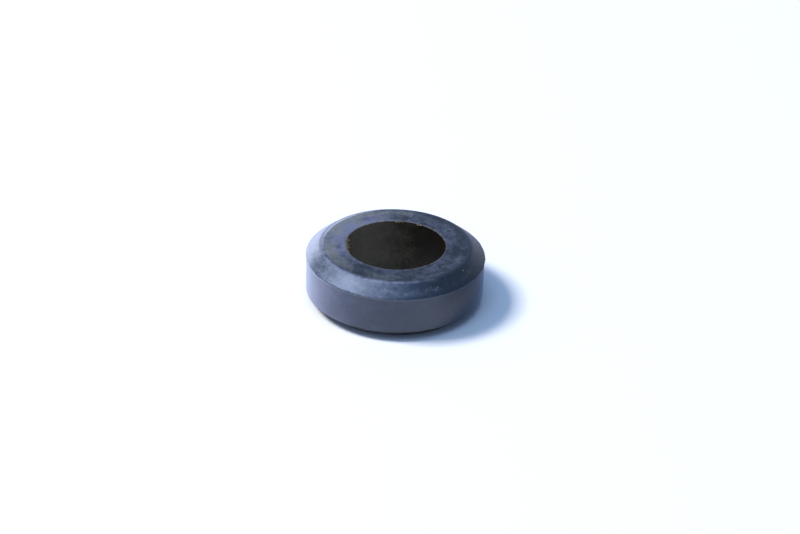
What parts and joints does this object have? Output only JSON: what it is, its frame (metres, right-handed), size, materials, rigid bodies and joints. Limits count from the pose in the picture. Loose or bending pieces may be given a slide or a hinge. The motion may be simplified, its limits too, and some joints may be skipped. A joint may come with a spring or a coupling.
{
  "type": "rubber sealing ring",
  "caption": "Thick moulded rubber sealing ring with a plain bore, flat faces and wide chamfers on both outer edges.",
  "frame": {"origin": "on the ring's axis, in the plane of the lower flat face that it rests on", "axes": "+Z along the ring's axis, towards the end whose chamfer runs out into the lip of flash"},
  "size_m": [0.0202, 0.0202, 0.0067],
  "materials": {
    "rubber": "matt, with a faint bluish bloom"
  },
  "bodies": {
    "root": {"ring": "rubber"}
  },
  "joints": []
}
